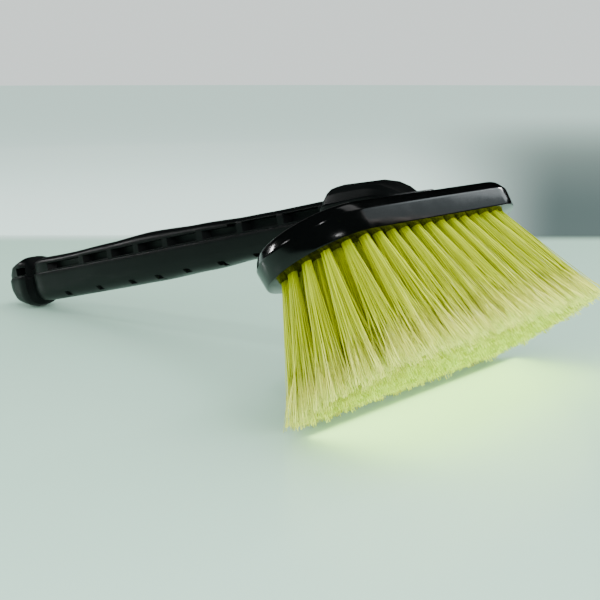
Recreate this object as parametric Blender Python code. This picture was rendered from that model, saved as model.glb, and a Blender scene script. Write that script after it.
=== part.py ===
"""Wash brush: tufts of flagged bristle in a moulded block, on a ribbed handle.

The brush lies as it is put down on a bench, on the butt of its handle and on the
trimmed tips of its rear tufts. +Z is up, the handle runs towards -X, and the long
side of the block lies along Y. The model is symmetric about the XZ plane, apart
from the one screw that locks the handle. Metres throughout.
"""

from math import cos, pi, radians, sin, sqrt

import bmesh
import bpy
from mathutils import Matrix, Vector

MM = 0.001

# How the brush rests
HEAD_TILT = radians(35.3)  # the front of the block is tipped up
HANDLE_SLOPE = radians(13.5)  # the handle falls towards its butt
HEAD_X = 146 * MM  # middle of the block's lower face, from the middle of the brush

# Block, drawn with its bristle face at height 0
END_CENTRE = 66 * MM  # centres of the round ends
BLOCK_RADIUS = 36.5 * MM  # radius of the round ends, half the block's width
BLOCK_LEVELS = (  # height, and how far the wall stands outside BLOCK_RADIUS
    (0, -0.8),
    (0.8, 0),
    (6, 0.5),
    (10.5, 0.8),
    (12.5, 0.4),
    (15.5, -1.2),
    (17.6, -2.9),
    (18.5, -4.6),
)
BLOCK_THICKNESS = 18.5 * MM
ARC_STEPS = 18  # facets round each end of the block

# Tufts
HOLE_DEPTH = 10.3 * MM
HOLE_RADIUS = 2.7 * MM
CLEARANCE = 0.3 * MM
TUFT_DEPTH = 72 * MM  # trimmed tips, below the bristle face
TUFT_TIP_RADIUS = 5.6 * MM
FAN_FRONT = 0.72  # how much further out the tips stand than the roots
FAN_BACK = 0.40
FAN_END = 0.355
TUFT_SIDES = 10
OUTER_RING = (28 * MM, 36)  # radius about the end centres, number of tufts
MIDDLE_RING = (19 * MM, 32)
INNER_RING = (10 * MM, 28)
MIDDLE_GROUPS = 8
INNER_GROUPS = 4
CENTRE_TUFTS = 11
CENTRE_PITCH = 12 * MM
MERGE_DEPTH = 30 * MM  # below this the tufts of a group press together
MERGE_THICKNESS = 0.9  # of a tuft's radius

# Handle, drawn about its own axis; s runs from above the block towards the butt
AXIS_HEIGHT = 21.6 * MM  # of the axis over the middle of the bristle face
LEDGE_HEIGHT = 5 * MM
LEDGE_STEP = 2.2 * MM
BUTT_LOW_POINT = 350 * MM
GRIP_STATIONS = (  # s, top above the axis, bottom below it, half width
    (33.3, 15.2, 13.0, 13.6),
    (75, 15.2, 12.6, 13.4),
    (103, 15.6, 12.8, 13.6),
    (150, 17.2, 15.2, 14.4),
    (201, 19.0, 16.8, 15.0),
    (250, 17.4, 17.2, 15.0),
    (295, 16.4, 17.4, 14.6),
    (328, 16.8, 17.4, 14.4),
    (335, 16.0, 16.6, 13.2),
    (339, 12.4, 16.4, 11.6),
    (342, 12.8, 18.6, 12.4),
)
BUTT_STATIONS = (  # s, share of the butt's full section
    (345.5, 0.96),
    (350, 1.0),
    (357, 0.91),
    (364, 0.80),
    (370.5, 0.52),
    (374.5, 0.22),
)
BUTT_TOP = 19.4 * MM
BUTT_HALF_WIDTH = 16.8 * MM

# Side pockets of the grip, between the ledge and the top rail
POCKET_ENDS = (36, 71, 107, 145, 179, 210, 240, 274, 320)  # rib positions along s
POCKET_RIB = 4.4 * MM
POCKET_LOW = 5.6 * MM
POCKET_HIGH = 12.6 * MM
POCKET_WEB = 5 * MM  # half thickness of the web left in the middle
BUTT_POCKET = (343.5 * MM, 356 * MM)
SCALLOPS = (96, 129, 163, 192, 221, 259, 298)  # finger nicks along the lower edge
SCALLOP_SIZE = Vector((7, 4, 2.6)) * MM

# Spigot of the handle, inside the saddle
SPIGOT_END = -4 * MM
SPIGOT_TOP = 11.5 * MM
SPIGOT_HALF_WIDTH = 10.5 * MM
SPIGOT_FLOOR = 21 * MM  # height over the bristle face

# Saddle that holds the handle on the block
SADDLE_STATIONS = (  # s, top above the axis, half width
    (33, 16.6, 16.8),
    (30.5, 19.4, 17.6),
    (26.5, 21.6, 18.2),
    (20, 22.0, 18.6),
    (-1, 20.6, 18.6),
    (-8, 18.6, 17.6),
    (-16, 14.4, 15.6),
    (-23, 9.6, 12.6),
)
SADDLE_LEDGE = 12 * MM
SADDLE_STEP = 2.6 * MM
SADDLE_FLOOR = BLOCK_THICKNESS + CLEARANCE
FOOT_CENTRE_X = -2 * MM
FOOT_HALF = Vector((28, 27)) * MM
FOOT_THICKNESS = 3.2 * MM
FOOT_CORNER = 9 * MM

# Screws
SCREW_PLACES = ((-19.5, -22.4), (-19.5, 22.4), (16, -22.4), (16, 22.4))  # on the foot
SCREW_RADIUS = 1.7 * MM
SCREW_LENGTH = 9.6 * MM
SCREW_HEAD_RADIUS = 3.4 * MM
SCREW_HEAD_HEIGHT = 2.2 * MM
LOCK_PLACE = Vector((-3, 0, 6.5)) * MM  # from the axis origin, along X and up
LOCK_SEAT = -15.5 * MM
LOCK_LENGTH = 11 * MM

# Derived places
TUFT_ROOT_RADIUS = HOLE_RADIUS - CLEARANCE
REAR_EDGE = OUTER_RING[0] * (1 + FAN_BACK) + TUFT_TIP_RADIUS
HEAD_Z = TUFT_DEPTH * cos(HEAD_TILT) + REAR_EDGE * sin(HEAD_TILT)
HEAD_FRAME = Matrix.Translation((HEAD_X, 0, HEAD_Z)) @ Matrix.Rotation(-HEAD_TILT, 4, "Y")
AXIS_ORIGIN = HEAD_FRAME @ Vector((0, 0, AXIS_HEIGHT))
HANDLE_FRAME = Matrix.Translation(AXIS_ORIGIN) @ Matrix.Rotation(-HANDLE_SLOPE, 4, "Y")
HANDLE_IN_HEAD = HEAD_FRAME.inverted() @ HANDLE_FRAME
BUTT_BOTTOM = (AXIS_ORIGIN.z - BUTT_LOW_POINT * sin(HANDLE_SLOPE)) / cos(HANDLE_SLOPE)


def clear_scene():
    for old in list(bpy.data.objects):
        bpy.data.objects.remove(old, do_unlink=True)


def material(name, colour, roughness):
    made = bpy.data.materials.new(name)
    made.use_nodes = True
    shader = made.node_tree.nodes["Principled BSDF"]
    shader.inputs["Base Color"].default_value = (*colour, 1)
    shader.inputs["Roughness"].default_value = roughness
    shader.inputs["Metallic"].default_value = 0
    return made


def frame_empty(name, frame):
    empty = bpy.data.objects.new(name, None)
    empty.matrix_world = frame
    bpy.context.collection.objects.link(empty)
    return empty


def finish(bm, name, parent=None, finish_material=None):
    """Makes an object of a bmesh, placed by its parent."""
    bmesh.ops.recalc_face_normals(bm, faces=bm.faces)
    mesh = bpy.data.meshes.new(name)
    bm.to_mesh(mesh)
    bm.free()
    mesh.shade_smooth()
    mesh.set_sharp_from_angle(angle=radians(35))
    made = bpy.data.objects.new(name, mesh)
    bpy.context.collection.objects.link(made)
    if finish_material:
        mesh.materials.append(finish_material)
    made.parent = parent
    return made


def loft(bm, rings):
    """Skins closed outlines of equal length, one after the other, and caps both ends."""
    loops = []
    for ring in rings:
        verts = [bm.verts.new(point) for point in ring]
        ends = verts[1:] + verts[:1]
        loops.append([bm.edges.new(pair) for pair in zip(verts, ends)])
    for near, far in zip(loops, loops[1:]):
        bmesh.ops.bridge_loops(bm, edges=near + far)
    bmesh.ops.edgenet_fill(bm, edges=loops[0])
    bmesh.ops.edgenet_fill(bm, edges=loops[-1])


def lofted(rings):
    bm = bmesh.new()
    loft(bm, rings)
    return bm


def circle(centre, radius, sides, height):
    turns = (2 * pi * step / sides for step in range(sides))
    return [(centre[0] + radius * cos(a), centre[1] + radius * sin(a), height) for a in turns]


def cut(target, cutter, operation="DIFFERENCE"):
    """Cuts or joins with a hidden helper that shares the target's parent."""
    cutter.hide_render = True
    cutter.display_type = "WIRE"
    boolean = target.modifiers.new(cutter.name, "BOOLEAN")
    boolean.operation = operation
    boolean.solver = "EXACT"
    boolean.object = cutter


def ring_length(radius):
    return 4 * END_CENTRE + 2 * pi * radius


def ring_place(radius, travel):
    """Point and outward angle at a distance along a ring, from the middle of the front."""
    travel %= ring_length(radius)
    if travel < END_CENTRE:
        return radius, travel, 0.0
    travel -= END_CENTRE
    if travel < pi * radius:
        angle = travel / radius
        return radius * cos(angle), END_CENTRE + radius * sin(angle), angle
    travel -= pi * radius
    if travel < 2 * END_CENTRE:
        return -radius, END_CENTRE - travel, pi
    travel -= 2 * END_CENTRE
    if travel < pi * radius:
        angle = pi + travel / radius
        return radius * cos(angle), -END_CENTRE + radius * sin(angle), angle
    travel -= pi * radius
    return radius, travel - END_CENTRE, 0.0


def fanned(x, y, depth):
    """Where the filament rooted at x, y stands at a depth below the bristle face."""
    share = depth / TUFT_DEPTH
    out = FAN_FRONT if x > 0 else FAN_BACK
    return x * (1 + out * share), y * (1 + FAN_END * share)


def tuft_radius(depth):
    return TUFT_ROOT_RADIUS + (TUFT_TIP_RADIUS - TUFT_ROOT_RADIUS) * max(depth, 0) / TUFT_DEPTH


def ring_roots(radius, count):
    pitch = ring_length(radius) / count
    return [ring_place(radius, (step + 0.5) * pitch)[:2] for step in range(count)]


def centre_roots():
    middle = (CENTRE_TUFTS - 1) / 2
    return [(0.0, (step - middle) * CENTRE_PITCH) for step in range(CENTRE_TUFTS)]


def tuft_rings(root, depths):
    return [circle(fanned(*root, d), tuft_radius(d), TUFT_SIDES, -d) for d in depths]


def add_hole(bm, root):
    depths = (CLEARANCE * 4, -HOLE_DEPTH)
    loft(bm, [circle(fanned(*root, d), HOLE_RADIUS, TUFT_SIDES, -d) for d in depths])


def block_outline(offset, height):
    """The block's outline: two half circles joined by straight sides."""
    radius = BLOCK_RADIUS + offset
    points = []
    for end, start in ((END_CENTRE, 0), (-END_CENTRE, pi)):
        for step in range(ARC_STEPS + 1):
            angle = start + pi * step / ARC_STEPS
            points.append((radius * cos(angle), end + radius * sin(angle), height))
    return points


def build_block(head, plastic, roots):
    rings = [block_outline(offset * MM, height * MM) for height, offset in BLOCK_LEVELS]
    block = finish(lofted(rings), "brush_block", head, plastic)
    bm = bmesh.new()
    for root in roots:
        add_hole(bm, root)
    cut(block, finish(bm, "tuft_hole_cutter", head))
    bm = bmesh.new()
    bottom = SADDLE_FLOOR + FOOT_THICKNESS - SCREW_LENGTH - CLEARANCE
    for x, y in SCREW_PLACES:
        heights = (bottom, BLOCK_THICKNESS + MM)
        centre = (x * MM, y * MM)
        loft(bm, [circle(centre, SCREW_RADIUS + CLEARANCE, TUFT_SIDES, h) for h in heights])
    cut(block, finish(bm, "block_screw_cutter", head))
    return block


def build_outer_tufts(head, bristle):
    for number, root in enumerate(ring_roots(*OUTER_RING), 1):
        rings = tuft_rings(root, (CLEARANCE - HOLE_DEPTH, 0, TUFT_DEPTH))
        finish(lofted(rings), f"outer_tuft_{number:02d}", head, bristle)


def merged_wall(places):
    """Lower part of a group, where its tufts press against each other."""
    rings = []
    for x, y, angle in places:
        ring = []
        for depth, side in ((MERGE_DEPTH, -1), (MERGE_DEPTH, 1), (TUFT_DEPTH, 1), (TUFT_DEPTH, -1)):
            at_x, at_y = fanned(x, y, depth)
            reach = side * tuft_radius(depth) * MERGE_THICKNESS
            ring.append((at_x + reach * cos(angle), at_y + reach * sin(angle), -depth))
        rings.append(ring)
    return lofted(rings)


def build_group(name, head, bristle, roots, places):
    group = finish(merged_wall(places), name, head, bristle)
    bm = bmesh.new()
    for root in roots:
        loft(bm, tuft_rings(root, (CLEARANCE - HOLE_DEPTH, 0, MERGE_DEPTH + 4 * MM)))
    cut(group, finish(bm, name + "_roots", head), "UNION")


def build_ring_groups(name, head, bristle, ring, groups):
    radius, count = ring
    pitch = ring_length(radius) / count
    each = count // groups
    roots = ring_roots(radius, count)
    for group in range(groups):
        first = group * each
        start = first * pitch + CLEARANCE
        stretch = each * pitch - 2 * CLEARANCE
        steps = 2 * each
        travels = [start + stretch * step / steps for step in range(steps + 1)]
        places = [ring_place(radius, travel) for travel in travels]
        build_group(f"{name}_{group + 1}", head, bristle, roots[first:first + each], places)


def build_tufts(head, bristle):
    build_outer_tufts(head, bristle)
    build_ring_groups("middle_tufts", head, bristle, MIDDLE_RING, MIDDLE_GROUPS)
    build_ring_groups("inner_tufts", head, bristle, INNER_RING, INNER_GROUPS)
    roots = centre_roots()
    places = [(0.0, y, 0.0) for _, y in roots]
    build_group("centre_tufts", head, bristle, roots, places)


def grip_section(s, top, bottom, half_width, ledge=LEDGE_HEIGHT):
    """Cross-section of the handle: a rounded belly, a ledge and a narrower rail."""
    rail = half_width - LEDGE_STEP * ledge / LEDGE_HEIGHT
    side = (
        (0.46 * half_width, -bottom),
        (0.80 * half_width, -0.82 * bottom),
        (0.97 * half_width, -0.52 * bottom),
        (half_width, ledge * 0.7),
        (half_width - 0.15 * LEDGE_STEP, ledge),
        (rail, ledge * 1.06),
        (rail, ledge + 0.62 * (top - ledge)),
        (0.80 * rail, ledge + 0.90 * (top - ledge)),
        (0.44 * rail, top),
    )
    mirrored = [(-y, z) for y, z in reversed(side)]
    return [(-s, y, z) for y, z in (*side, *mirrored)]


def box(bm, low, high):
    centre = (Vector(low) + Vector(high)) / 2
    size = Vector(high) - Vector(low)
    place = Matrix.Translation(centre) @ Matrix.Diagonal((*size, 1))
    bmesh.ops.create_cube(bm, size=1, matrix=place)


def spigot_solid(gap, start):
    """The handle's spigot, or with a gap the socket that it slides into."""
    wide = SPIGOT_HALF_WIDTH + gap
    high = SPIGOT_TOP + gap
    corner = 2.5 * MM
    low = -20 * MM
    outline = ((-wide, low), (wide, low), (wide, high - corner), (wide - corner, high),
               (corner - wide, high), (-wide, high - corner))
    ends = (-start, -SPIGOT_END + gap)
    bm = lofted([[(x, y, z) for y, z in outline] for x in ends])
    bmesh.ops.transform(bm, matrix=HANDLE_IN_HEAD, verts=bm.verts)
    trim_below(bm, SPIGOT_FLOOR - gap)
    return bm


def trim_below(bm, height):
    """Cuts a solid in the head's frame at a height and closes it again."""
    geometry = [*bm.verts, *bm.edges, *bm.faces]
    bmesh.ops.bisect_plane(bm, geom=geometry, plane_co=(0, 0, height), plane_no=(0, 0, 1),
                           clear_inner=True)
    open_edges = [edge for edge in bm.edges if edge.is_boundary]
    bmesh.ops.edgenet_fill(bm, edges=open_edges)


def lock_cylinder(bm, radius, near, far, sides=12):
    """A cylinder along the lock screw, across the handle."""
    turns = (2 * pi * step / sides for step in range(sides))
    ring = [(LOCK_PLACE.x + radius * cos(a), LOCK_PLACE.z + radius * sin(a)) for a in turns]
    loft(bm, [[(x, y, z) for x, z in ring] for y in (near, far)])


def build_handle(frame, plastic, head):
    rings = [grip_section(*(value * MM for value in station)) for station in GRIP_STATIONS]
    for s, share in BUTT_STATIONS:
        sizes = (BUTT_TOP * share, BUTT_BOTTOM * share, BUTT_HALF_WIDTH * sqrt(share))
        rings.append(grip_section(s * MM, *sizes, ledge=LEDGE_HEIGHT * share))
    handle = finish(lofted(rings), "handle", frame, plastic)

    bm = bmesh.new()
    spans = [(near * MM, far * MM) for near, far in zip(POCKET_ENDS, POCKET_ENDS[1:])]
    for near, far in (*spans, BUTT_POCKET):
        rib = POCKET_RIB / 2 if far < BUTT_POCKET[0] else 0
        for side in (-1, 1):
            edges = sorted((side * POCKET_WEB, side * 30 * MM))
            box(bm, (-far + rib, edges[0], POCKET_LOW), (-near - rib, edges[1], POCKET_HIGH))
    cut(handle, finish(bm, "grip_pocket_cutter", frame))

    bm = bmesh.new()
    for s in SCALLOPS:
        for side in (-1, 1):
            slope = Matrix.Translation((-s * MM, side * 12.4 * MM, scallop_height(s)))
            place = slope @ Matrix.Rotation(side * radians(50), 4, "X")
            bmesh.ops.create_cube(bm, size=1, matrix=place @ Matrix.Diagonal((*SCALLOP_SIZE, 1)))
    cut(handle, finish(bm, "finger_nick_cutter", frame))

    spigot = finish(spigot_solid(0, 42 * MM), "spigot_joiner", head)
    cut(handle, spigot, "UNION")
    bm = bmesh.new()
    depth = LOCK_SEAT + LOCK_LENGTH + CLEARANCE
    lock_cylinder(bm, SCREW_RADIUS + CLEARANCE, -30 * MM, depth)
    cut(handle, finish(bm, "handle_lock_cutter", frame))


def scallop_height(s):
    """Height of the grip's lower edge, between the stations on either side."""
    for near, far in zip(GRIP_STATIONS, GRIP_STATIONS[1:]):
        if near[0] <= s <= far[0]:
            share = (s - near[0]) / (far[0] - near[0])
            return -0.80 * (near[2] + (far[2] - near[2]) * share) * MM
    raise ValueError("a finger nick lies off the grip")


def saddle_section(s, top, half_width):
    """Cross-section of the saddle: wide walls up to a ledge, and a narrower crown."""
    ledge = min(SADDLE_LEDGE, 0.62 * top)
    crown = half_width - SADDLE_STEP
    side = (
        (half_width, -30 * MM),
        (half_width, ledge - 0.6 * MM),
        (half_width - 0.6 * MM, ledge),
        (crown, ledge + 0.4 * MM),
        (crown - 0.8 * MM, ledge + 0.55 * (top - ledge)),
        (crown - 3.4 * MM, ledge + 0.90 * (top - ledge)),
        (0.42 * crown, top),
    )
    mirrored = [(-y, z) for y, z in reversed(side)]
    return [(-s, y, z) for y, z in (*side, *mirrored)]


def rounded_plate(half, corner, low, high):
    """A plate with four rounded corners, about the middle of the foot."""
    rings = []
    for height in (low, high):
        ring = []
        for quarter, (sx, sy) in enumerate(((1, 1), (-1, 1), (-1, -1), (1, -1))):
            for step in range(5):
                angle = (quarter + step / 4) * pi / 2
                x = FOOT_CENTRE_X + sx * (half.x - corner) + corner * cos(angle)
                y = sy * (half.y - corner) + corner * sin(angle)
                ring.append((x, y, height))
        rings.append(ring)
    return lofted(rings)


def build_saddle(head, frame, plastic):
    rings = [saddle_section(*(value * MM for value in station)) for station in SADDLE_STATIONS]
    bm = lofted(rings)
    bmesh.ops.transform(bm, matrix=HANDLE_IN_HEAD, verts=bm.verts)
    trim_below(bm, SADDLE_FLOOR)
    saddle = finish(bm, "handle_saddle", head, plastic)
    top = SADDLE_FLOOR + FOOT_THICKNESS
    foot = rounded_plate(FOOT_HALF, FOOT_CORNER, SADDLE_FLOOR, top)
    cut(saddle, finish(foot, "saddle_foot_joiner", head), "UNION")
    cut(saddle, finish(spigot_solid(CLEARANCE, 60 * MM), "socket_cutter", head))
    bm = bmesh.new()
    for x, y in SCREW_PLACES:
        centre = (x * MM, y * MM)
        heights = (SADDLE_FLOOR - MM, top + MM)
        loft(bm, [circle(centre, SCREW_RADIUS + CLEARANCE, TUFT_SIDES, h) for h in heights])
    cut(saddle, finish(bm, "foot_screw_cutter", head))
    bm = bmesh.new()
    lock_cylinder(bm, SCREW_RADIUS + CLEARANCE, -30 * MM, -5 * MM)
    cut(saddle, finish(bm, "saddle_lock_cutter", frame))
    bm = bmesh.new()
    lock_cylinder(bm, SCREW_HEAD_RADIUS + CLEARANCE, -30 * MM, LOCK_SEAT)
    cut(saddle, finish(bm, "lock_seat_cutter", frame))


def cross_outline(height):
    """A cross recess, as a twelve-point outline."""
    arm, half = 2.1 * MM, 0.55 * MM
    points = []
    for quarter in range(4):
        turn = Matrix.Rotation(quarter * pi / 2, 2)
        for corner in ((arm, -half), (arm, half), (half, half)):
            points.append((*(turn @ Vector(corner)), height))
    return points


def build_screw(name, place, length, steel):
    """A pan-head screw; its seat lies at height 0 of its own frame."""
    profile = (
        (0.5 * SCREW_RADIUS, -length),
        (SCREW_RADIUS, -length + 1.5 * MM),
        (SCREW_RADIUS, CLEARANCE),
        (SCREW_HEAD_RADIUS, CLEARANCE),
        (SCREW_HEAD_RADIUS, SCREW_HEAD_HEIGHT * 0.55),
        (SCREW_HEAD_RADIUS * 0.72, SCREW_HEAD_HEIGHT),
    )
    bm = lofted([circle((0, 0), radius, 12, height) for radius, height in profile])
    screw = finish(bm, name, None, steel)
    depth = (SCREW_HEAD_HEIGHT - 1.3 * MM, SCREW_HEAD_HEIGHT + MM)
    recess = finish(lofted([cross_outline(height) for height in depth]), name + "_recess")
    recess.matrix_world = place
    screw.matrix_world = place
    cut(screw, recess)


def build_screws(steel):
    seat = SADDLE_FLOOR + FOOT_THICKNESS
    for number, (x, y) in enumerate(SCREW_PLACES, 1):
        place = HEAD_FRAME @ Matrix.Translation((x * MM, y * MM, seat))
        build_screw(f"saddle_screw_{number}", place, SCREW_LENGTH, steel)
    across = Matrix.Translation((LOCK_PLACE.x, LOCK_SEAT, LOCK_PLACE.z))
    place = HANDLE_FRAME @ across @ Matrix.Rotation(pi / 2, 4, "X")
    build_screw("handle_lock_screw", place, LOCK_LENGTH, steel)


def main():
    clear_scene()
    head = frame_empty("head_frame", HEAD_FRAME)
    axis = frame_empty("handle_frame", HANDLE_FRAME)
    gloss = material("gloss_polypropylene", (0.006, 0.007, 0.008), 0.12)
    matt = material("textured_polypropylene", (0.012, 0.014, 0.014), 0.55)
    bristle = material("flagged_bristle", (0.52, 0.56, 0.05), 0.6)
    steel = material("zinc_plated_steel", (0.45, 0.45, 0.44), 0.35)
    roots = ring_roots(*OUTER_RING) + ring_roots(*MIDDLE_RING) + ring_roots(*INNER_RING)
    build_block(head, gloss, roots + centre_roots())
    build_tufts(head, bristle)
    build_handle(axis, matt, head)
    build_saddle(head, axis, matt)
    build_screws(steel)


main()
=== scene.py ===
"""Builds the visual model of a long-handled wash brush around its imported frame."""

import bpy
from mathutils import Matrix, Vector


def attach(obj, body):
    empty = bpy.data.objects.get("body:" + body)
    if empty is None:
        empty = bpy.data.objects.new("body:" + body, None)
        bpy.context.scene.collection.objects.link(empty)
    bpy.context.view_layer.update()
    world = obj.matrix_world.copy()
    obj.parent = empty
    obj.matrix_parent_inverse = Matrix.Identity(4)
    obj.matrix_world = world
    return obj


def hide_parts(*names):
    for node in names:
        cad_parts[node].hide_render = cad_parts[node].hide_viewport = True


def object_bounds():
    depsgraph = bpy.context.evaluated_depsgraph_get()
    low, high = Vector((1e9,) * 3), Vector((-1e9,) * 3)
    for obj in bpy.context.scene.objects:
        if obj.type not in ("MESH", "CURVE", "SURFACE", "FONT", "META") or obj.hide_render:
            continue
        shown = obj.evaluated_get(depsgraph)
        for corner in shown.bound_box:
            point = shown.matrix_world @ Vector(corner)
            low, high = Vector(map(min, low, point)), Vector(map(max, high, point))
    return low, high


bl_info = {
    "name": "Wash brush",
    "version": (1, 0, 0),
    "blender": (4, 5, 0),
    "location": "3D View > Sidebar > Wash brush",
    "description": "Block, flagged filament tufts, saddle and ribbed grip of a wash brush",
    "category": "Object",
}

from math import cos, pi, radians, sin, sqrt

import bmesh
import bpy
import numpy as np
from bpy.props import FloatProperty, FloatVectorProperty, IntProperty, PointerProperty
from mathutils import Euler, Matrix, Vector

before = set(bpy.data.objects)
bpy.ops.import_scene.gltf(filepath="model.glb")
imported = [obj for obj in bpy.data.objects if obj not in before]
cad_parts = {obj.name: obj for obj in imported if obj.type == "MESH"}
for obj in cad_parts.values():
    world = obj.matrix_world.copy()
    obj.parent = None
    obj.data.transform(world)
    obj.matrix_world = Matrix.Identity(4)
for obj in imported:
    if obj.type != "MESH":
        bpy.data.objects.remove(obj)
CAD_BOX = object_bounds()

MM = 0.001

# Tuft rings: radius about the end centres in mm, number of tufts, CAD nodes, tufts in each,
# and how far the tips are scuffed
OUTER_RING = (28, 36, "outer_tuft_{:02d}", 1, 1.0)
MIDDLE_RING = (19, 32, "middle_tufts_{}", 4, 0.76)
INNER_RING = (10, 28, "inner_tufts_{}", 7, 0.72)
CENTRE_ROW = (12, 11, "centre_tufts", 0.72)  # pitch in mm, tufts, CAD node, scuffing
SCREWS = ("saddle_screw_1", "saddle_screw_2", "saddle_screw_3", "saddle_screw_4",
          "handle_lock_screw")

# The block's wall in mm: height over the bristle face, and distance outside the round radius
WALL_PROFILE = ((0, -0.9), (0.25, -0.35), (0.9, 0), (5.5, 0.45), (10.6, 0.8), (11.6, 0.75),
                (12.4, 0.35), (13.8, -0.35), (15.5, -1.25), (16.9, -2.2), (17.8, -3.2),
                (18.35, -4.1), (18.5, -5.2))

# The grip in mm: distance from above the block, top over the axis, bottom below it, half width
GRIP_STATIONS = ((33.3, 15.2, 13.0, 13.6), (75, 15.2, 12.6, 13.4), (103, 15.6, 12.8, 13.6),
                 (150, 17.2, 15.2, 14.4), (201, 19.0, 16.8, 15.0), (250, 17.4, 17.2, 15.0),
                 (295, 16.4, 17.4, 14.6), (328, 16.8, 17.4, 14.4), (335, 16.0, 16.8, 13.4),
                 (338.5, 10.2, 16.0, 11.0), (342, 10.0, 16.4, 11.2), (344.5, 18.2, 19.2, 15.8),
                 (350, 19.6, 20.2, 16.8), (357, 17.8, 18.2, 16.0), (364, 15.6, 15.9, 14.8),
                 (370.5, 10.2, 10.4, 11.6), (374.3, 4.6, 4.4, 6.4))
RIBS = (36, 71, 107, 145, 179, 210, 240, 274, 320)  # middles of the cross ribs
FINGER_NICKS = (96, 129, 163, 192, 221, 259, 298)
NICK_HALF = 3.5  # half the length of a finger nick
BUTT_POCKET = (344.5, 357.0)
BUTT_STOPS = {347.2, 353.5, 360.5, 367.5, 372.8}

# How a filament strays from its tuft's line at the tips
BOW = 0.30 * MM
STRAY_SHARE = 0.28  # of the filaments,
STRAY_BOW = 4.0  # which bow this many times more
SPLIT_EARLY, SPLIT_LATE = -10 * MM, 6 * MM  # where they start to split, about the flagging's start

# Lamps about the block: azimuth, elevation and distance, width and height in m, power in W,
# colour. Fills don't show in reflections, which keeps the black mouldings black.
WHITE = (1, 1, 1)
FILLS = (("overhead", 100, 72, 1.6, (1.6, 1.6), 12, WHITE),
         ("front_fill", -72, 16, 1.5, (1.8, 0.7), 19, WHITE),
         ("right_fill", -5, 14, 1.5, (1.4, 0.5), 20, WHITE))
LAMPS = (("back_frame", 54.6, 24, 1.5, (0.06, 0.75), 0.34, (1.0, 0.86, 0.8)),
         ("back_window", 63.5, 24, 1.5, (0.42, 0.75), 1.3, (0.82, 0.96, 1.0)),
         ("back_window_bright", 78.8, 24, 1.5, (0.38, 0.75), 3.4, (0.86, 0.97, 1.0)),
         ("top_sheen", 97, 57, 1.5, (0.8, 0.5), 1.6, WHITE),
         ("back_lamp", 87, 21, 1.5, (0.10, 0.24), 4, WHITE),
         ("right_lamp", -62, 58, 1.5, (0.05, 0.16), 3, WHITE),
         ("rim_lamp", -20, 22, 1.5, (0.30, 0.06), 3, WHITE),
         ("left_window", -163, 13, 1.5, (0.06, 0.16), 4, WHITE),
         ("far_left_glow", 150, 8, 2.2, (1.6, 0.5), 0.35, WHITE),
         ("saddle_lamp", -128, 24, 1.5, (0.35, 0.12), 3, WHITE))
# The light that bristles pass on to each other, sent up from below them
BRISTLE_BOUNCE = ("bristle_bounce", 180, 55, 0, (0.21, 0.08), 0.28, (0.82, 1.0, 0.3))
BOUNCE_PLACE = (8 * MM, 0, -78 * MM)  # from the middle of the block's lower face

# The ground past the board. Distances are multiples of the distance to the board's far edge.
BOARD_GONE = 1.05
DARK_FADES = (1.15, 4)
DARK_SIDE = (0.07, 0.24)  # how far right of the view's middle it is, as a share of its distance


def linear(hex_colour):
    """Linear RGB of an sRGB hex value."""
    channels = (int(hex_colour[start:start + 2], 16) / 255 for start in (1, 3, 5))
    return tuple(c / 12.92 if c <= 0.04045 else ((c + 0.055) / 1.055) ** 2.4 for c in channels)


def length(name, description, millimetres):
    """A length property, with its default given in millimetres."""
    return FloatProperty(name=name, description=description, default=millimetres * MM,
                         subtype="DISTANCE", unit="LENGTH", precision=4)


def colour(name, description, hex_colour):
    """A colour property, with its default given as an sRGB hex value."""
    return FloatVectorProperty(name=name, description=description, default=linear(hex_colour),
                               subtype="COLOR", min=0, max=1)


class HeadSizes(bpy.types.PropertyGroup):
    """The moulded block, drawn with its bristle face at height 0"""

    tilt: FloatProperty(name="Tilt", description="How far the front of the block is tipped up",
                        default=radians(35.3), subtype="ANGLE")
    end_centre: length("End centre", "From the block's middle to the centre of a round end", 66)
    round_radius: length("Round radius", "Radius of the block's round ends", 36.5)
    arc_steps: IntProperty(name="Arc steps", description="Facets round the block", default=128)
    hole_radius: length("Hole radius", "Radius of a tuft hole", 2.7)
    hole_depth: length("Hole depth", "Depth of a tuft hole", 10.3)


class TuftSizes(bpy.types.PropertyGroup):
    """The tufts of flagged filament"""

    depth: length("Trim", "From the bristle face to the trimmed tips", 72)
    root_radius: length("Root radius", "Radius of a tuft where it leaves the block", 2.65)
    tip_radius: length("Tip radius", "Radius that a tuft spreads to", 9.2)
    fan_front: FloatProperty(name="Front fan", description="Spread of the front tips", default=0.72)
    fan_back: FloatProperty(name="Back fan", description="Spread of the rear tips", default=0.32)
    fan_end: FloatProperty(name="End fan", description="Spread of the end tips", default=0.28)
    fan_middle: length("Fan middle", "Where along the block no tuft leans to either end", 18)
    inset: length("Inset", "How far the rings stop short of the block's round ends", 3.5)
    filaments: IntProperty(name="Filaments", description="Filaments in a tuft", default=100)
    filament_radius: length("Filament radius", "Radius of one filament", 0.25)
    flag_length: length("Flagging", "Length of the split tips", 13)
    unevenness: length("Unevenness", "How far the trimmed tips differ", 2.4)
    variants: IntProperty(name="Variants", description="Different tufts drawn", default=7)


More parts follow.
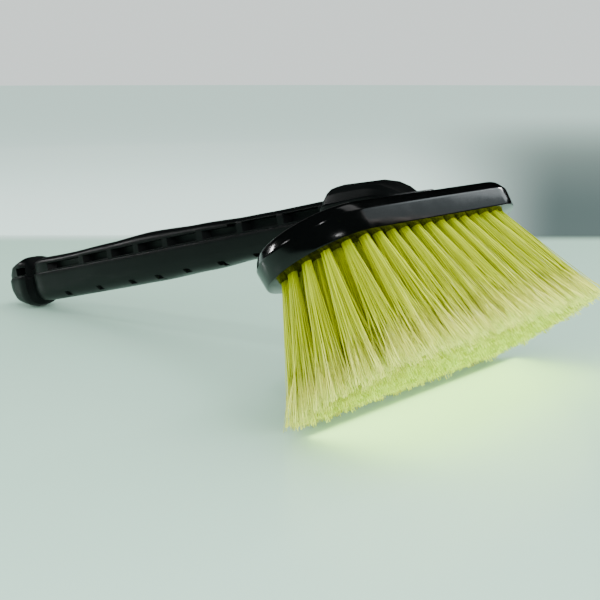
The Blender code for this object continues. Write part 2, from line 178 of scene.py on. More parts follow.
class GripSizes(bpy.types.PropertyGroup):
    """The ribbed grip, drawn about its own axis"""

    slope: FloatProperty(name="Slope", description="How far the grip falls towards its butt",
                         default=radians(13.5), subtype="ANGLE")
    axis_height: length("Axis height", "Grip axis over the middle of the bristle face", 21.6)
    ledge: length("Ledge", "Height of the side ledge over the grip's axis", 5)
    ledge_step: length("Ledge step", "How far the rail stands back from the ledge", 2.2)
    rib: length("Rib", "Thickness of a cross rib", 4.2)
    web: length("Web", "Half thickness of the web between the pockets", 5)
    pocket_top: length("Pocket top", "Top of the side pockets over the grip's axis", 12.6)
    nick_depth: length("Nick depth", "Depth of the finger nicks", 2)
    edge: length("Edge", "Radius of the moulded edges", 0.7)
    saddle_ledge: length("Saddle ledge", "Height over the axis that the saddle draws in from", 12.2)
    saddle_top: length("Saddle top", "Height over the axis of the saddle's crown", 21)
    saddle_draft: FloatProperty(name="Saddle draft", default=0.1,
                                description="Share that the saddle is drawn in at its crown")
    saddle_edge: length("Saddle edge", "Radius of the saddle's edges", 0.9)


class BrushColours(bpy.types.PropertyGroup):
    """Colours of the brush and of the surface that it lies on"""

    gloss: colour("Block", "Glossy polypropylene", "#040505")
    matt: colour("Grip", "Textured polypropylene", "#060808")
    filament: colour("Filament", "Body of the filament", "#C2D000")
    root: colour("Root", "Filament near the block", "#C0D400")
    tip: colour("Tip", "Split, scuffed tips", "#FAFF70")
    zinc: colour("Zinc", "Plated screws", "#B9BBBB")
    table: colour("Table", "Pale lacquered board", "#BDE3D0")
    far_left: colour("Far left", "Ground past the board, at its left", "#DDF3EC")
    far_right: colour("Far right", "Ground past the board, at its right", "#4A5655")


class StageSizes(bpy.types.PropertyGroup):
    """Camera, sky and table"""

    lens: FloatProperty(name="Lens", description="Focal length in mm", default=66, min=1)
    across: length("Across", "Camera from the block, along X", 368.6)
    before: length("Before", "Camera in front of the block, along Y", 518.1)
    above: length("Above", "Camera over the block's lower face", 101.9)
    yaw: FloatProperty(name="Yaw", description="Camera turned from +Y", default=radians(40.69),
                       subtype="ANGLE")
    pitch: FloatProperty(name="Pitch", description="Camera below level", default=radians(11.9),
                         subtype="ANGLE")
    board_end: length("Board", "From the camera's foot to the board's far edge", 1190)
    floor: length("Floor", "Radius of the floor", 12000)
    sky: colour("Sky", "Light from all round", "#E6EFEC")
    sky_strength: FloatProperty(name="Sky strength", description="Its strength", default=1.3)


# ---------------------------------------------------------------- places


def head_frame(sizes):
    """The block's frame: origin in the middle of its lower face, +Z through the block."""
    turn = Matrix.Rotation(-sizes.tilt, 3, "Y")
    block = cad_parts["brush_block"].data
    local = [turn.inverted() @ vert.co for vert in block.vertices]
    xs = [co.x for co in local]
    lowest = min(co.z for co in local)
    origin = turn @ Vector(((min(xs) + max(xs)) / 2, 0, lowest))
    return Matrix.Translation(origin) @ turn.to_4x4()


def grip_frame(head, grip):
    """The grip's frame: origin on its axis above the block, butt towards -X."""
    origin = head_frame(head) @ Vector((0, 0, grip.axis_height))
    return Matrix.Translation(origin) @ Matrix.Rotation(-grip.slope, 4, "Y")


def ring_place(radius, travel, end):
    """Point at a distance along a stadium ring, from the middle of its front."""
    arc = pi * radius
    travel %= 4 * end + 2 * arc
    if travel < end:
        return Vector((radius, travel))
    travel -= end
    if travel < arc:
        return Vector((radius * cos(travel / radius), end + radius * sin(travel / radius)))
    travel -= arc
    if travel < 2 * end:
        return Vector((-radius, end - travel))
    travel -= 2 * end
    if travel < arc:
        return Vector((-radius * cos(travel / radius), -end - radius * sin(travel / radius)))
    return Vector((radius, travel - arc - end))


def ring_roots(radius, count, end):
    pitch = (4 * end + 2 * pi * radius) / count
    return [ring_place(radius, (step + 0.5) * pitch, end) for step in range(count)]


def row_roots(pitch, count):
    return [Vector((0, (step - (count - 1) / 2) * pitch)) for step in range(count)]


def all_roots(end):
    roots = row_roots(CENTRE_ROW[0] * MM, CENTRE_ROW[1])
    for radius, count, *_ in (OUTER_RING, MIDDLE_RING, INNER_RING):
        roots += ring_roots(radius * MM, count, end)
    return roots


def lean(root, tufts):
    """How far a tuft's line moves outwards for each metre below the block."""
    fan = tufts.fan_front if root.x > 0 else tufts.fan_back
    return Vector((root.x * fan, (root.y - tufts.fan_middle) * tufts.fan_end)) / tufts.depth


# ---------------------------------------------------------------- meshes


def mesh_of(bm, name):
    """Turns a bmesh into a mesh."""
    mesh = bpy.data.meshes.new(name)
    bm.to_mesh(mesh)
    bm.free()
    return mesh


def piece_of(bm, name, finish, replaced, place=None):
    """Makes a finished object of a bmesh and hands it to the frame."""
    mesh = mesh_of(bm, name)
    if place:
        mesh.transform(place)
    mesh.materials.clear()
    mesh.materials.append(finish)
    piece = bpy.data.objects.new(name, mesh)
    bpy.context.scene.collection.objects.link(piece)
    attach(piece, "root")
    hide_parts(*replaced)
    return piece


def extruded(bm, faces):
    """Extrudes a patch, clears the faces that this leaves inside, and returns the new ones."""
    grown = bmesh.ops.extrude_face_region(bm, geom=faces)["geom"]
    if any(len(edge.link_faces) > 2 for face in faces for edge in face.edges):
        bmesh.ops.delete(bm, geom=faces, context="FACES")
    return [item for item in grown if isinstance(item, bmesh.types.BMFace)]


def skin(bm, rings):
    """Extrudes one outline through a row of stations, and leaves both ends closed."""
    cap = bm.faces.new([bm.verts.new(point) for point in rings[0]])
    for ring in rings[1:]:
        cap, = extruded(bm, [cap])
        for vert, point in zip(cap.verts, ring):
            vert.co = point
    bmesh.ops.recalc_face_normals(bm, faces=bm.faces)


def round_edges(piece, width, angle):
    """Rounds the edges sharper than an angle in degrees, and shades the rest smooth."""
    bevel = piece.modifiers.new("moulded_edges", "BEVEL")
    bevel.width = width
    bevel.segments = 3
    bevel.limit_method = "ANGLE"
    bevel.angle_limit = radians(angle)
    apply_modifiers(piece)
    smooth(piece, 40)


def apply_modifiers(piece):
    """Turns what the modifiers make into the piece's own mesh."""
    bpy.context.view_layer.update()
    evaluated = piece.evaluated_get(bpy.context.evaluated_depsgraph_get())
    old = piece.data
    piece.data = bpy.data.meshes.new_from_object(evaluated)
    piece.modifiers.clear()
    bpy.data.meshes.remove(old)


def smooth(piece, angle):
    """Shades a piece smooth, apart from edges sharper than an angle in degrees."""
    piece.data.shade_smooth()
    piece.data.set_sharp_from_angle(angle=radians(angle))


# ---------------------------------------------------------------- block


def block_outline(bm, head):
    """The block's lower outline: a circle pulled apart into a stadium."""
    half_step = Matrix.Rotation(pi / head.arc_steps, 4, "Z")
    bmesh.ops.create_circle(bm, cap_ends=True, segments=head.arc_steps,
                            radius=head.round_radius, matrix=half_step)
    for vert in bm.verts:
        vert.co.y += head.end_centre if vert.co.y > 0 else -head.end_centre


def grow(verts, head, offset, height):
    """Moves an outline to a height, and outwards along its own normal."""
    for vert in verts:
        centre = Vector((0, head.end_centre if vert.co.y > 0 else -head.end_centre, 0))
        out = Vector((vert.co.x, vert.co.y - centre.y, 0)).normalized()
        vert.co = centre + out * (head.round_radius + offset)
        vert.co.z = height


def block_body(head):
    bm = bmesh.new()
    block_outline(bm, head)
    (height, offset), *rest = WALL_PROFILE
    grow(bm.verts, head, offset * MM, height * MM)
    cap = bm.faces[:][0]
    for height, offset in rest:
        cap, = extruded(bm, [cap])
        grow(cap.verts, head, offset * MM, height * MM)
    bmesh.ops.recalc_face_normals(bm, faces=bm.faces)
    return bm


def hole_cutter(head, tufts, place):
    """One slanted, round-bottomed cutter for each tuft hole."""
    bm = bmesh.new()
    over = 1.2 * MM
    for root in all_roots(head.end_centre - tufts.inset):
        slant = lean(root, tufts)
        shear = Matrix(((1, 0, -slant.x, 0), (0, 1, -slant.y, 0), (0, 0, 1, 0), (0, 0, 0, 1)))
        middle = Vector((0, 0, (head.hole_depth - over) / 2))
        where = Matrix.Translation((root.x, root.y, 0)) @ shear @ Matrix.Translation(middle)
        bmesh.ops.create_cone(bm, cap_ends=True, segments=20, radius1=head.hole_radius,
                              radius2=head.hole_radius * 0.92, depth=head.hole_depth + over,
                              matrix=where)
    mesh = mesh_of(bm, "hole_cutter")
    mesh.transform(place)
    cutter = bpy.data.objects.new("hole_cutter", mesh)
    bpy.context.scene.collection.objects.link(cutter)
    return cutter


def drill(piece, cutter):
    """Cuts the cutter's solids out of a piece, and removes the cutter."""
    boolean = piece.modifiers.new("drill", "BOOLEAN")
    boolean.object = cutter
    boolean.solver = "EXACT"
    apply_modifiers(piece)
    mesh = cutter.data
    bpy.data.objects.remove(cutter)
    bpy.data.meshes.remove(mesh)


class WASHBRUSH_OT_block(bpy.types.Operator):
    """Moulds the glossy block with its slanted tuft holes"""

    bl_idname = "washbrush.block"
    bl_label = "Block"

    def execute(self, context):
        head, tufts = context.scene.brush_head, context.scene.brush_tufts
        place = head_frame(head)
        finish = glossy_polypropylene(context.scene.brush_colours)
        block = piece_of(block_body(head), "moulded_block", finish, ["brush_block"], place)
        drill(block, hole_cutter(head, tufts, place))
        smooth(block, 30)
        return {"FINISHED"}


# ---------------------------------------------------------------- tufts


def filament_mesh(tufts):
    """One filament along -Z with its split tip, thinned by what fanning out adds."""
    bm = bmesh.new()
    radius = tufts.filament_radius
    end = tufts.depth - tufts.flag_length
    stops = (-6 * MM, 4 * MM, end * 0.35, end * 0.7, end)
    ring = bmesh.ops.create_circle(bm, cap_ends=True, segments=3, radius=radius)["verts"]
    bmesh.ops.translate(bm, verts=ring, vec=(0, 0, -stops[0]))
    cap = bm.faces[:][0]
    for near, far in zip(stops, stops[1:]):
        cap, = extruded(bm, [cap])
        thin = spread(near, tufts) / spread(far, tufts)
        bmesh.ops.scale(bm, verts=cap.verts, vec=(thin, thin, 1))
        bmesh.ops.translate(bm, verts=cap.verts, vec=(0, 0, near - far))
    add_flags(bm, tufts, end)
    bmesh.ops.recalc_face_normals(bm, faces=bm.faces)
    return mesh_of(bm, "filament")


def add_flags(bm, tufts, start):
    """Three tapering hairs that part from each other at the filament's end."""
    radius = tufts.filament_radius / spread(start, tufts)
    for third in range(3):
        turn = Matrix.Rotation(third * 2 * pi / 3, 4, "Z")
        out = turn @ Vector((radius * 0.55, 0, 0))
        sink = 2 * MM
        hair = tufts.flag_length + sink
        middle = Matrix.Translation((out.x, out.y, sink - start - hair / 2))
        verts = bmesh.ops.create_cone(bm, cap_ends=True, segments=3, radius1=radius * 0.66,
                                      radius2=radius * 0.62, depth=hair, matrix=middle)["verts"]
        tips = [vert for vert in verts if vert.co.z < -start]
        splay = out.normalized() * (0.14 * MM + 0.10 * MM * third)
        bmesh.ops.translate(bm, verts=tips, vec=splay)


def spread(depth, tufts):
    """How many times wider a tuft is at a depth than where it leaves the block."""
    share = np.clip(depth / tufts.depth, 0, 1.1)
    return 1 + (tufts.tip_radius / tufts.root_radius - 1) * share ** 0.85


def tuft_mesh(filament, tufts, rng):
    """A straight tuft: filaments packed in a disc, each a little bent and uneven."""
    bm = bmesh.new()
    golden = pi * (3 - sqrt(5))
    each = len(filament.vertices)
    start = tufts.depth - tufts.flag_length
    for number in range(tufts.filaments):
        bm.from_mesh(filament)
        bm.verts.ensure_lookup_table()
        verts = bm.verts[-each:]
        reach = sqrt((number + 0.5) / tufts.filaments) * (tufts.root_radius - tufts.filament_radius)
        angle = number * golden
        stray = STRAY_BOW if rng.random() < STRAY_SHARE else 1.0
        bow = Vector(rng.normal(0, BOW * stray, 2)).to_3d()
        stretch = 1 + rng.normal(0, tufts.unevenness / tufts.depth) * 0.7
        split = rng.uniform(SPLIT_EARLY, SPLIT_LATE)
        bmesh.ops.rotate(bm, verts=verts, matrix=Matrix.Rotation(rng.uniform(0, 2 * pi), 3, "Z"))
        for vert in verts:
            if abs(-vert.co.z - start) < 3 * MM:
                vert.co.z -= split
            share = max(-vert.co.z, 0) / tufts.depth
            vert.co += bow * share * share
            vert.co.z *= stretch if vert.co.z < 0 else 1
        bmesh.ops.translate(bm, verts=verts, vec=(reach * cos(angle), reach * sin(angle), 0))
    mesh = mesh_of(bm, "tuft")
    mark_filaments(mesh, tufts, rng, each)
    return mesh


def mark_filaments(mesh, tufts, rng, each):
    """Stores how far along its filament a point lies, and each filament's own shade."""
    co = coordinates(mesh)
    along = mesh.attributes.new("along", "FLOAT", "POINT")
    along.data.foreach_set("value", np.clip(-co[:, 2] / tufts.depth, 0, 1).astype(np.float32))
    shade = mesh.attributes.new("shade", "FLOAT", "POINT")
    shades = np.repeat(rng.random(len(co) // each), each)
    shade.data.foreach_set("value", shades.astype(np.float32))


def coordinates(mesh):
    co = np.empty(len(mesh.vertices) * 3)
    mesh.vertices.foreach_get("co", co)
    return co.reshape(-1, 3)


def fan_out(mesh, root, tufts, place, rng):
    """Turns a straight tuft about its line, spreads it, leans it outwards and lays it down."""
    co = coordinates(mesh)
    depth = -co[:, 2]
    turn = rng.uniform(0, 2 * pi)
    wide = spread(depth, tufts)
    x = (co[:, 0] * cos(turn) - co[:, 1] * sin(turn)) * wide
    y = (co[:, 0] * sin(turn) + co[:, 1] * cos(turn)) * wide
    slant = lean(root, tufts)
    sway = rng.normal(0, 0.5 * MM, 2)
    share = (np.clip(depth, 0, None) / tufts.depth) ** 2
    co[:, 0] = root.x + slant.x * depth + x + sway[0] * share
    co[:, 1] = root.y + slant.y * depth + y + sway[1] * share
    co[:, 2] = -depth
    co = co @ np.array(place.to_3x3()).T + np.array(place.translation)
    lay_on_table(co)
    mesh.vertices.foreach_set("co", co.ravel())
    return mesh


def lay_on_table(co):
    """Bends what would reach below the table outwards along it."""
    floor = CAD_BOX[0][2] + 0.3 * MM
    below = np.clip(floor - co[:, 2], 0, None)
    co[:, 0] -= below * 0.4
    co[:, 2] += below


def tuft_piece(name, roots, straight, context, rng, replaced, wear):
    """One piece of one or more fanned-out tufts, whose tips are scuffed as far as their wear."""
    tufts = context.scene.brush_tufts
    place = head_frame(context.scene.brush_head)
    bm = bmesh.new()
    for root in roots:
        copy = straight[int(rng.integers(len(straight)))].copy()
        bm.from_mesh(fan_out(copy, root, tufts, place, rng))
        bpy.data.meshes.remove(copy)
    finish = flagged_filament(context.scene.brush_colours)
    piece = piece_of(bm, name, finish, replaced)
    piece.data.shade_smooth()
    along = piece.data.attributes["along"].data
    values = np.empty(len(along), np.float32)
    along.foreach_get("value", values)
    along.foreach_set("value", values * wear)


def straight_tufts(tufts, rng):
    filament = filament_mesh(tufts)
    made = [tuft_mesh(filament, tufts, rng) for _ in range(tufts.variants)]
    bpy.data.meshes.remove(filament)
    return made


def ring_pieces(context, ring, label, seed):
    """The tufts of one ring, grouped as the CAD nodes group them."""
    radius, count, node, each, wear = ring
    rng = np.random.default_rng(seed)
    tufts = context.scene.brush_tufts
    straight = straight_tufts(tufts, rng)
    roots = ring_roots(radius * MM, count, context.scene.brush_head.end_centre - tufts.inset)
    for number in range(count // each):
        group = roots[number * each:(number + 1) * each]
        name = f"{label}_{number + 1:02d}"
        tuft_piece(name, group, straight, context, rng, [node.format(number + 1)], wear)


class WASHBRUSH_OT_outer_tufts(bpy.types.Operator):
    """Sets the outer ring of tufts, one piece for each"""

    bl_idname = "washbrush.outer_tufts"
    bl_label = "Outer tufts"

    def execute(self, context):
        ring_pieces(context, OUTER_RING, "filament_tuft", 11)
        return {"FINISHED"}


class WASHBRUSH_OT_inner_tufts(bpy.types.Operator):
    """Sets the two inner rings and the middle row of tufts"""

    bl_idname = "washbrush.inner_tufts"
    bl_label = "Inner tufts"

    def execute(self, context):
        ring_pieces(context, MIDDLE_RING, "filament_middle_ring", 12)
        ring_pieces(context, INNER_RING, "filament_inner_ring", 13)
        rng = np.random.default_rng(14)
        straight = straight_tufts(context.scene.brush_tufts, rng)
        pitch, count, node, wear = CENTRE_ROW
        roots = row_roots(pitch * MM, count)
        tuft_piece("filament_centre_row", roots, straight, context, rng, [node], wear)
        return {"FINISHED"}


# ---------------------------------------------------------------- grip


def grip_size(s):
    """Top, bottom and half width at a distance along the grip, eased between stations."""
    for near, far in zip(GRIP_STATIONS, GRIP_STATIONS[1:]):
        if s <= far[0]:
            share = max(s - near[0], 0) / (far[0] - near[0])
            eased = share * share * (3 - 2 * share) if far[0] < 345 else share
            return [MM * (a + (b - a) * eased) for a, b in zip(near[1:], far[1:])]
    return [MM * value for value in GRIP_STATIONS[-1][1:]]


def grip_outline(s, grip):
    """Cross-section: a round belly up to the ledge, and a narrower, rounded rail."""
    top, bottom, wide = grip_size(s)
    ledge = min(grip.ledge, 0.34 * top)
    rail = wide - grip.ledge_step * ledge / grip.ledge
    pocket_top = min(grip.pocket_top, ledge + 0.62 * (top - ledge))
    belly = 7
    side = []
    for step in range(belly):
        angle = (step + 0.5) / belly * pi / 2
        side.append((wide * sin(angle) ** 0.72, -bottom * cos(angle) ** 0.62))
    side += [(wide, 0.4 * ledge), (wide, 0.9 * ledge), (wide - 0.3 * MM, ledge),
             (rail, 1.05 * ledge), (rail, 1.05 * ledge + 0.5 * MM), (rail, pocket_top)]
    crown = 5
    for step in range(1, crown + 1):
        angle = step / (crown + 0.6) * pi / 2
        side.append((rail * cos(angle) ** 0.7, pocket_top + (top - pocket_top) * sin(angle) ** 0.8))
    mirrored = [(-y, z) for y, z in reversed(side)]
    return [Vector((-s * MM, y, z)) for y, z in side + mirrored]


def grip_stops(grip):
    """Distances along the grip where its outline is set: even steps, ribs, nicks and butt."""
    half = grip.rib / MM / 2
    stops = {float(station[0]) for station in GRIP_STATIONS}
    stops |= {rib + side * half for rib in RIBS[1:-1] for side in (-1, 1)}
    stops |= {RIBS[0] + half, RIBS[-1] - half}
    stops |= {nick + side * NICK_HALF for nick in FINGER_NICKS for side in (-1, 1)}
    stops |= BUTT_STOPS
    stops |= set(np.arange(40, 332, 6.0))
    kept = []
    for stop in sorted(stops):
        if not kept or stop - kept[-1] > 1.2:
            kept.append(float(stop))
    return kept


def spigot_outline(outline, s, grip, head):
    """The grip's outline shrunk to the spigot that enters the saddle, clear of the block."""
    tilt = head.tilt - grip.slope
    floor = (21 * MM - grip.axis_height - s * MM * sin(tilt)) / cos(tilt)
    low, high = max(floor, -11 * MM), 11.5 * MM
    bottom, top = min(p.z for p in outline), max(p.z for p in outline)
    return [Vector((-s * MM, p.y * 0.74, low + (p.z - bottom) / (top - bottom) * (high - low)))
            for p in outline]


def sink(bm, faces, inset, depth, draft):
    """Insets a patch and pushes its middle in towards the grip's axis."""
    bmesh.ops.inset_region(bm, faces=faces, thickness=inset, use_even_offset=True)
    normal = sum((face.normal for face in faces), Vector()).normalized()
    floor = extruded(bm, faces)
    verts = list({vert for face in floor for vert in face.verts})
    middle = sum((vert.co for vert in verts), Vector()) / len(verts)
    shrink = Matrix.Translation(middle) @ Matrix.Scale(draft, 4) @ Matrix.Translation(-middle)
    bmesh.ops.transform(bm, matrix=shrink, verts=verts)
    bmesh.ops.translate(bm, verts=verts, vec=normal * -depth)


def patch(bm, low, high, side, height):
    """Side faces between two distances along the grip whose middle lies in a height band."""
    found = []
    for face in bm.faces:
        middle = face.calc_center_median()
        along = -middle.x / MM
        if low < along < high and side * middle.y > 0 and height[0] < middle.z < height[1]:
            found.append(face)
    return found


def sink_pockets(bm, grip):
    half = grip.rib / MM / 2
    bays = [(near + half, far - half) for near, far in zip(RIBS, RIBS[1:])]
    for low, high in (*bays, BUTT_POCKET):
        for side in (-1, 1):
            band = (1.05 * grip.ledge + 0.5 * MM, grip.pocket_top)
            faces = patch(bm, low, high, side, band)
            bm.normal_update()
            wide = sum(abs(face.calc_center_median().y) for face in faces) / len(faces)
            sink(bm, faces, 0.5 * MM, wide - grip.web, 0.9)


def sink_nicks(bm, grip):
    for nick in FINGER_NICKS:
        for side in (-1, 1):
            bottom = grip_size(nick)[1]
            band = (-0.93 * bottom, -0.66 * bottom)
            faces = patch(bm, nick - NICK_HALF, nick + NICK_HALF, side, band)
            bm.normal_update()
            sink(bm, faces, 0.4 * MM, grip.nick_depth, 0.8)


class WASHBRUSH_OT_grip(bpy.types.Operator):
    """Moulds the ribbed grip with its butt and spigot"""

    bl_idname = "washbrush.grip"
    bl_label = "Grip"

    def execute(self, context):
        scene = context.scene
        grip, head = scene.brush_grip, scene.brush_head
        place = grip_frame(head, grip)
        rings = [grip_outline(s, grip) for s in grip_stops(grip)]
        spigot = [spigot_outline(rings[0], s, grip, head) for s in (-4, 12, 24, 32.8)]
        bm = bmesh.new()
        skin(bm, spigot + rings)
        sink_pockets(bm, grip)
        sink_nicks(bm, grip)
        bmesh.ops.recalc_face_normals(bm, faces=bm.faces)
        finish = textured_polypropylene(scene.brush_colours)
        piece = piece_of(bm, "moulded_grip", finish, ["handle"], place)
        round_edges(piece, grip.edge, 38)
        return {"FINISHED"}


# ---------------------------------------------------------------- saddle and screws


def merged_copy(node):
    """A CAD node's mesh with its loose triangles joined and its flat faces made whole."""
    bm = bmesh.new()
    bm.from_mesh(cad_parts[node].data)
    bmesh.ops.remove_doubles(bm, verts=bm.verts, dist=0.01 * MM)
    bmesh.ops.dissolve_limit(bm, angle_limit=radians(1), verts=bm.verts, edges=bm.edges)
    return bm


def draw_in(bm, place, grip):
    """Draws the saddle's sides in above its ledge, as the mould's draft does."""
    back = place.inverted()
    low, high = grip.saddle_ledge, grip.saddle_top
    for vert in bm.verts:
        local = back @ vert.co
        if local.z > low:
            local.y *= 1 - grip.saddle_draft * min((local.z - low) / (high - low), 1)
            vert.co = place @ local


class WASHBRUSH_OT_saddle(bpy.types.Operator):
    """Rounds the edges of the saddle that holds the grip on the block"""

    bl_idname = "washbrush.saddle"
    bl_label = "Saddle"

    def execute(self, context):
        scene = context.scene
        finish = textured_polypropylene(scene.brush_colours)
        bm = merged_copy("handle_saddle")
        draw_in(bm, grip_frame(scene.brush_head, scene.brush_grip), scene.brush_grip)
        piece = piece_of(bm, "moulded_saddle", finish, ["handle_saddle"])
        round_edges(piece, scene.brush_grip.saddle_edge, 12)
        return {"FINISHED"}


class WASHBRUSH_OT_screws(bpy.types.Operator):
    """Finishes the saddle's screws in zinc plate"""

    bl_idname = "washbrush.screws"
    bl_label = "Screws"

    def execute(self, context):
        finish = zinc_plated_steel(context.scene.brush_colours)
        for name in SCREWS:
            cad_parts[name].material_slots[0].material = finish
        return {"FINISHED"}


# ---------------------------------------------------------------- materials


def new_material(name):
    """An empty node material."""
    made = bpy.data.materials.new(name)
    made.use_nodes = True
    made.node_tree.nodes.clear()
    return made


def add(tree, kind, inputs=None, **settings):
    """Adds a node, sets its fields, and fills its inputs with values or links."""
    node = tree.nodes.new(kind)
    for field, value in settings.items():
        setattr(node, field, value)
    for key, value in (inputs or {}).items():
        if isinstance(value, bpy.types.NodeSocket):
            tree.links.new(value, node.inputs[key])
        else:
            node.inputs[key].default_value = value
    return node


def surface(material, shader):
    add(material.node_tree, "ShaderNodeOutputMaterial", {"Surface": shader.outputs[0]})
    return material


def rgba(colour_value, factor=1.0):
    return (*(channel * factor for channel in colour_value), 1)


def ramp(tree, factor, stops):
    """A colour ramp through (position, colour) stops."""
    node = add(tree, "ShaderNodeValToRGB", {"Fac": factor})
    elements = node.color_ramp.elements
    while len(elements) < len(stops):
        elements.new(0.5)
    for element, (position, value) in zip(elements, stops):
        element.position = position
        element.color = value
    return node


def noise(tree, feature, detail):
    """Noise over the object, with features of a size in millimetres."""
    place = add(tree, "ShaderNodeTexCoord")
    made = add(tree, "ShaderNodeTexNoise", {"Vector": place.outputs["Object"],
                                            "Scale": 1 / (feature * MM), "Detail": detail})
    return made.outputs["Fac"]


def glossy_polypropylene(colours):
    """Polypropylene moulded against a polished tool: deep black, with a slight moulding ripple."""
    material = new_material("glossy moulded polypropylene")
    tree = material.node_tree
    ripple = noise(tree, 26, 2.0)
    smears = noise(tree, 11, 5.0)
    rough = add(tree, "ShaderNodeMapRange", {"Value": smears, "From Min": 0.35, "From Max": 0.7,
                                             "To Min": 0.10, "To Max": 0.20})
    bump = add(tree, "ShaderNodeBump", {"Height": ripple, "Strength": 0.12,
                                        "Distance": 0.4 * MM})
    shader = add(tree, "ShaderNodeBsdfPrincipled",
                 {"Base Color": rgba(colours.gloss), "Roughness": rough.outputs["Result"],
                  "IOR": 1.49, "Specular IOR Level": 0.22, "Normal": bump.outputs["Normal"]})
    return surface(material, shader)


def textured_polypropylene(colours):
    """Polypropylene moulded against a spark-eroded tool: a soft, even, fine-grained charcoal."""
    name = "textured moulded polypropylene"
    if name in bpy.data.materials:
        return bpy.data.materials[name]
    material = new_material(name)
    tree = material.node_tree
    # The tool's grain is about 0.15 mm; it is drawn at 0.6 mm so that it shows.
    grain = noise(tree, 0.6, 3.0)
    handling = noise(tree, 22, 5.0)
    tone = ramp(tree, handling, ((0.3, rgba(colours.matt, 0.85)), (0.7, rgba(colours.matt, 1.3))))
    rough = add(tree, "ShaderNodeMapRange", {"Value": handling, "From Min": 0.3, "From Max": 0.7,
                                             "To Min": 0.32, "To Max": 0.44})
    bump = add(tree, "ShaderNodeBump", {"Height": grain, "Strength": 0.35,
                                        "Distance": 0.1 * MM})
    shader = add(tree, "ShaderNodeBsdfPrincipled",
                 {"Base Color": tone.outputs["Color"], "Roughness": rough.outputs["Result"],
                  "IOR": 1.49, "Specular IOR Level": 0.1, "Normal": bump.outputs["Normal"]})
    return surface(material, shader)


def flagged_filament(colours):
    """Extruded polyester filament: translucent chartreuse, scuffed pale where it is split."""
    name = "flagged polyester filament"
    if name in bpy.data.materials:
        return bpy.data.materials[name]
    material = new_material(name)
    tree = material.node_tree
    along = add(tree, "ShaderNodeAttribute", attribute_name="along")
    shade = add(tree, "ShaderNodeAttribute", attribute_name="shade")
    early = add(tree, "ShaderNodeMath", {0: shade.outputs["Fac"], 1: 0.26, 2: -0.13},
                operation="MULTIPLY_ADD")
    worn = add(tree, "ShaderNodeMath", {0: along.outputs["Fac"], 1: early.outputs["Value"]})
    body = ramp(tree, worn.outputs["Value"],
                ((0.0, rgba(colours.root)), (0.16, rgba(colours.filament)),
                 (0.64, rgba(colours.filament)), (0.97, rgba(colours.tip))))
    tone = add(tree, "ShaderNodeMapRange", {"Value": shade.outputs["Fac"], "To Min": 0.62,
                                            "To Max": 1.2})
    varied = add(tree, "ShaderNodeHueSaturation", {"Value": tone.outputs["Result"],
                                                   "Color": body.outputs["Color"]})
    shader = add(tree, "ShaderNodeBsdfPrincipled",
                 {"Base Color": varied.outputs["Color"], "Roughness": 0.38, "IOR": 1.57,
                  "Specular IOR Level": 0.3, "Subsurface Weight": 0.3,
                  "Subsurface Radius": (1.0, 1.0, 0.2), "Subsurface Scale": 0.6 * MM})
    return surface(material, shader)


def zinc_plated_steel(colours):
    """Cold-formed steel in bright zinc: pale grey with a faint cloudy bloom."""
    material = new_material("zinc plated steel")
    tree = material.node_tree
    rough = add(tree, "ShaderNodeMapRange", {"Value": noise(tree, 1.4, 4.0), "To Min": 0.22,
                                             "To Max": 0.42})
    shader = add(tree, "ShaderNodeBsdfPrincipled",
                 {"Base Color": rgba(colours.zinc), "Metallic": 1.0,
                  "Roughness": rough.outputs["Result"]})
    return surface(material, shader)


def lacquered_board(colours, stage, foot):
    """Pale lacquered board: soft reflections, and darker ground past its far edge."""
    material = new_material("pale lacquered board")
    tree = material.node_tree
    place = add(tree, "ShaderNodeTexCoord")
    turned = add(tree, "ShaderNodeMapping", {"Vector": place.outputs["Object"],
                                             "Location": foot, "Rotation": (0, 0, stage.yaw)},
                 vector_type="TEXTURE")
    axes = add(tree, "ShaderNodeSeparateXYZ", {"Vector": turned.outputs["Vector"]})
    past = add(tree, "ShaderNodeMapRange",
               {"Value": axes.outputs["Y"], "From Min": stage.board_end,
                "From Max": stage.board_end * BOARD_GONE}, interpolation_type="SMOOTHSTEP")
    across = add(tree, "ShaderNodeMath", {0: axes.outputs["X"], 1: axes.outputs["Y"]},
                 operation="DIVIDE")
    gone = add(tree, "ShaderNodeMapRange",
               {"Value": axes.outputs["Y"], "From Min": stage.board_end * DARK_FADES[0],
                "From Max": stage.board_end * DARK_FADES[1]}, interpolation_type="SMOOTHSTEP")
    side = add(tree, "ShaderNodeMapRange", {"Value": across.outputs["Value"],
                                            "From Min": DARK_SIDE[0], "From Max": DARK_SIDE[1]},
               interpolation_type="SMOOTHSTEP")
    left = add(tree, "ShaderNodeMath", {0: 1.0, 1: gone.outputs["Result"]}, operation="SUBTRACT")
    dark = add(tree, "ShaderNodeMath", {0: side.outputs["Result"], 1: left.outputs["Value"]},
               operation="MULTIPLY")
    ground = ramp(tree, dark.outputs["Value"],
                  ((0.0, rgba(colours.far_left)), (1.0, rgba(colours.far_right))))
    dull = add(tree, "ShaderNodeMapRange", {"Value": past.outputs["Result"], "To Min": 0.5,
                                            "To Max": 0.0})
    tone = add(tree, "ShaderNodeMix", {"Factor": past.outputs["Result"]}, data_type="RGBA")
    tone.inputs[6].default_value = rgba(colours.table)
    tree.links.new(ground.outputs["Color"], tone.inputs[7])
    shader = add(tree, "ShaderNodeBsdfPrincipled",
                 {"Base Color": tone.outputs[2], "Roughness": 0.24, "IOR": 1.45,
                  "Specular IOR Level": dull.outputs["Result"]})
    return surface(material, shader)


# ---------------------------------------------------------------- stage


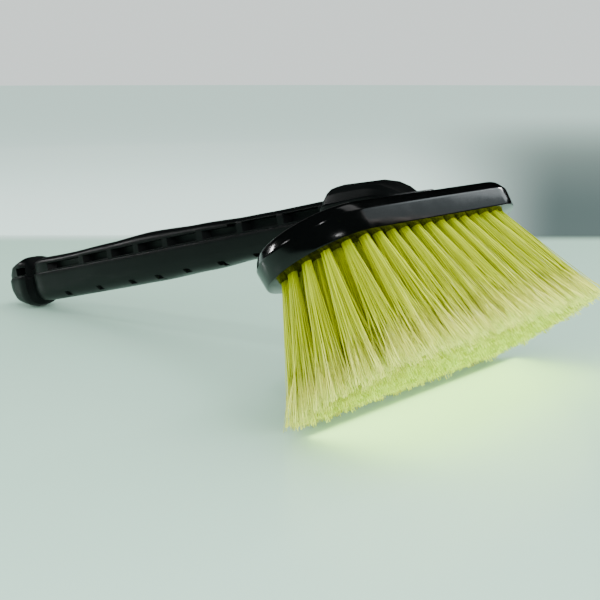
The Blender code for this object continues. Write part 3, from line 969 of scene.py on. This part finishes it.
def softbox(target, glare, name, azimuth, elevation, reach, size, power, tint):
    """An area light at an angle about the target, shown in reflections only if it may glare."""
    light = bpy.data.lights.new(name, "AREA")
    light.shape = "RECTANGLE"
    light.size, light.size_y = size
    light.energy = power
    light.color = tint
    azimuth, elevation = radians(azimuth), radians(elevation)
    away = Vector((cos(azimuth) * cos(elevation), sin(azimuth) * cos(elevation), sin(elevation)))
    made = bpy.data.objects.new(name, light)
    made.location = target + away * reach
    made.rotation_euler = away.to_track_quat("Z", "Y").to_euler()
    made.visible_glossy = glare
    made.visible_camera = False
    bpy.context.scene.collection.objects.link(made)


def light_stage(place):
    """Hangs the lamps round the block, and lights the bristles from below."""
    for lamp in FILLS:
        softbox(place.translation, False, *lamp)
    for lamp in LAMPS:
        softbox(place.translation, True, *lamp)
    softbox(place @ Vector(BOUNCE_PLACE), False, *BRISTLE_BOUNCE)


class WASHBRUSH_OT_stage(bpy.types.Operator):
    """Sets the table, the soft lights and the camera"""

    bl_idname = "washbrush.stage"
    bl_label = "Stage"

    def execute(self, context):
        scene = context.scene
        sizes = scene.brush_stage
        origin = head_frame(scene.brush_head).translation
        bm = bmesh.new()
        bmesh.ops.create_circle(bm, cap_ends=True, segments=96, radius=sizes.floor)
        mesh = mesh_of(bm, "table_top")
        foot = origin + Vector((sizes.across, -sizes.before, 0))
        finish = lacquered_board(scene.brush_colours, sizes, (foot.x, foot.y, 0))
        mesh.materials.append(finish)
        table = bpy.data.objects.new("table_top", mesh)
        scene.collection.objects.link(table)
        light_stage(head_frame(scene.brush_head))
        world = bpy.data.worlds.new("studio")
        world.use_nodes = True
        background = world.node_tree.nodes["Background"]
        background.inputs["Color"].default_value = rgba(sizes.sky)
        background.inputs["Strength"].default_value = sizes.sky_strength
        world.cycles_visibility.glossy = False
        scene.world = world
        camera = bpy.data.objects.new("camera", bpy.data.cameras.new("camera"))
        camera.data.lens = sizes.lens
        camera.data.sensor_width = 36
        camera.data.clip_end = 100
        camera.location = origin + Vector((sizes.across, -sizes.before, sizes.above))
        camera.rotation_euler = Euler((pi / 2 - sizes.pitch, 0, sizes.yaw), "XYZ")
        scene.collection.objects.link(camera)
        scene.camera = camera
        return {"FINISHED"}


# ---------------------------------------------------------------- panel and run


class WASHBRUSH_PT_parts(bpy.types.Panel):
    """Lists the brush's pieces"""

    bl_idname = "WASHBRUSH_PT_parts"
    bl_label = "Wash brush"
    bl_space_type = "VIEW_3D"
    bl_region_type = "UI"
    bl_category = "Wash brush"

    def draw(self, context):
        for operator in OPERATORS:
            self.layout.operator(operator.bl_idname)
        for group in GROUPS:
            values = getattr(context.scene, group)
            box = self.layout.box()
            for field in values.bl_rna.properties:
                if field.identifier not in ("rna_type", "name"):
                    box.prop(values, field.identifier)


OPERATORS = (WASHBRUSH_OT_block, WASHBRUSH_OT_saddle, WASHBRUSH_OT_screws, WASHBRUSH_OT_grip,
             WASHBRUSH_OT_outer_tufts, WASHBRUSH_OT_inner_tufts, WASHBRUSH_OT_stage)
GROUPS = {"brush_head": HeadSizes, "brush_tufts": TuftSizes, "brush_grip": GripSizes,
          "brush_colours": BrushColours, "brush_stage": StageSizes}


def register():
    for kind in (*GROUPS.values(), *OPERATORS, WASHBRUSH_PT_parts):
        bpy.utils.register_class(kind)
    for name, kind in GROUPS.items():
        setattr(bpy.types.Scene, name, PointerProperty(type=kind))


def unregister():
    for name in GROUPS:
        delattr(bpy.types.Scene, name)
    for kind in (WASHBRUSH_PT_parts, *reversed(OPERATORS), *reversed(GROUPS.values())):
        bpy.utils.unregister_class(kind)


def main():
    register()
    for operator in OPERATORS:
        family, name = operator.bl_idname.split(".")
        getattr(getattr(bpy.ops, family), name)()


if __name__ == "__main__":
    main()
